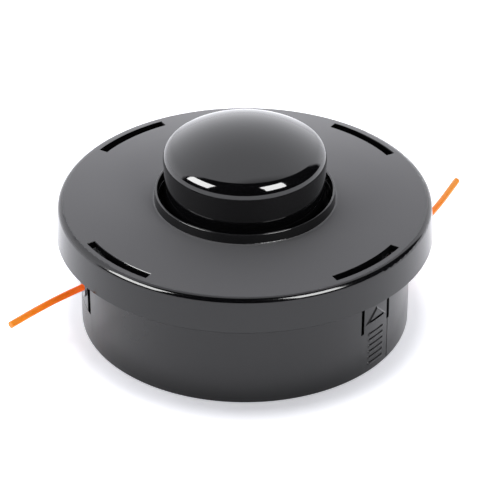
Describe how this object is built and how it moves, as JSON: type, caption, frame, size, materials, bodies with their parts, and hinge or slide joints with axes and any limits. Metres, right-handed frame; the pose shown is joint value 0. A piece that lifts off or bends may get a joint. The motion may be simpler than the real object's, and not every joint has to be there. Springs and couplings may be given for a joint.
{
  "type": "trimmer head",
  "caption": "Round tap-feed line trimmer head: cup housing with latch tabs, slotted twist-off cap, domed bump knob on a sprung spool, and line ends through side eyelets.",
  "frame": {"origin": "centre of the mounting face, on the drive axis", "axes": "+Z along the drive axis from the mounting face to the bump knob, -Y towards the side that the picture shows in front"},
  "size_m": [0.1611, 0.132, 0.075],
  "materials": {
    "housing_plastic": "moulded black nylon, satin gloss",
    "cap_plastic": "moulded black nylon, satin gloss",
    "knob_plastic": "polished black nylon",
    "guide_plastic": "moulded black nylon",
    "spool_plastic": "moulded black nylon, matt",
    "eyelet_metal": "turned steel, blackened",
    "zinc_steel": "zinc plated",
    "spring_steel": "drawn spring wire",
    "cutting_line": "extruded orange nylon, slightly clear"
  },
  "bodies": {
    "housing": {"housing": "housing_plastic", "drive_nut": "zinc_steel", "outlet_guide_left": "guide_plastic", "outlet_guide_right": "guide_plastic", "eyelet_left": "eyelet_metal", "eyelet_right": "eyelet_metal", "line_tail_left": "cutting_line", "line_tail_right": "cutting_line", "spring": "spring_steel"},
    "cap": {"cap": "cap_plastic"},
    "press_carrier": {"thrust_washer": "zinc_steel"},
    "spool": {"spool": "spool_plastic", "bump_knob": "knob_plastic", "winding_lower": "cutting_line", "winding_upper": "cutting_line"}
  },
  "joints": [
    {"name": "cap_twist", "type": "hinge", "parent": "housing", "child": "cap", "pos_m": [0, 0, 0.0467], "axis": [0, 0, 1], "range_deg": [0, 30]},
    {"name": "bump_press", "type": "slide", "parent": "cap", "child": "press_carrier", "axis": [0, 0, 1], "range_m": [-0.006, 0], "stiffness_N_per_m": 900, "springref_m": 0.012, "deforming": ["spring"]},
    {"name": "spool_turn", "type": "hinge", "parent": "press_carrier", "child": "spool", "pos_m": [0, 0, 0.0294], "axis": [0, 0, 1], "range_deg": [0, 55]}
  ]
}
